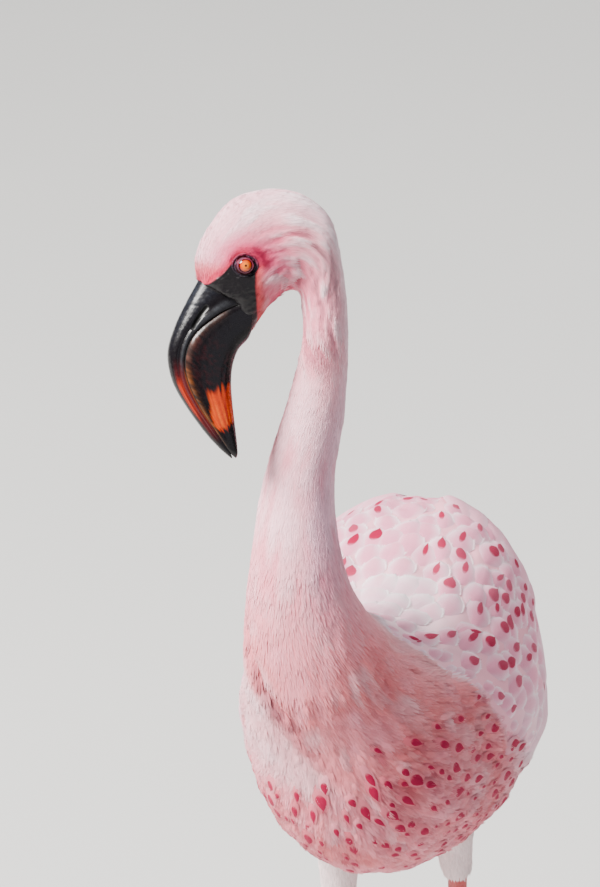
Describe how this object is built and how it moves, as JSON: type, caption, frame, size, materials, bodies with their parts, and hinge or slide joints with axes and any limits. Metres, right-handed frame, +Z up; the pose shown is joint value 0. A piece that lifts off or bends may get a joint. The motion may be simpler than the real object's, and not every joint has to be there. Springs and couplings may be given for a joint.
{
  "type": "flamingo model",
  "caption": "Life-size still model of a standing lesser flamingo with its head turned to its right.",
  "frame": {"origin": "middle of the bounding box, on the floor", "axes": "+Z up, +Y towards the tail, +X out of the bird's left side"},
  "size_m": [0.1934, 0.3692, 0.8114],
  "materials": {
    "feathers": "soft matt feathers",
    "pale_feathers": "soft matt feathers",
    "horn_black": "satin horn",
    "horn_crimson": "satin horn",
    "iris": "polished glass eye",
    "leg_scales": "fine matt scales",
    "claw_horn": "satin horn"
  },
  "bodies": {
    "root": {"trunk": "feathers", "head": "feathers", "neck_upper": "feathers", "neck_lower": "feathers", "tail": "pale_feathers", "wing_left": "pale_feathers", "wing_right": "pale_feathers", "thigh_left": "pale_feathers", "thigh_right": "pale_feathers", "bill_upper": "horn_black", "bill_lower": "horn_crimson", "eye_left": "iris", "eye_right": "iris", "shin_left": "leg_scales", "shin_right": "leg_scales", "tarsus_left": "leg_scales", "tarsus_right": "leg_scales", "foot_left": "leg_scales", "foot_right": "leg_scales", "claw_left_inner": "claw_horn", "claw_left_middle": "claw_horn", "claw_left_outer": "claw_horn", "claw_left_hind": "claw_horn", "claw_right_inner": "claw_horn", "claw_right_middle": "claw_horn", "claw_right_outer": "claw_horn", "claw_right_hind": "claw_horn"}
  },
  "joints": []
}
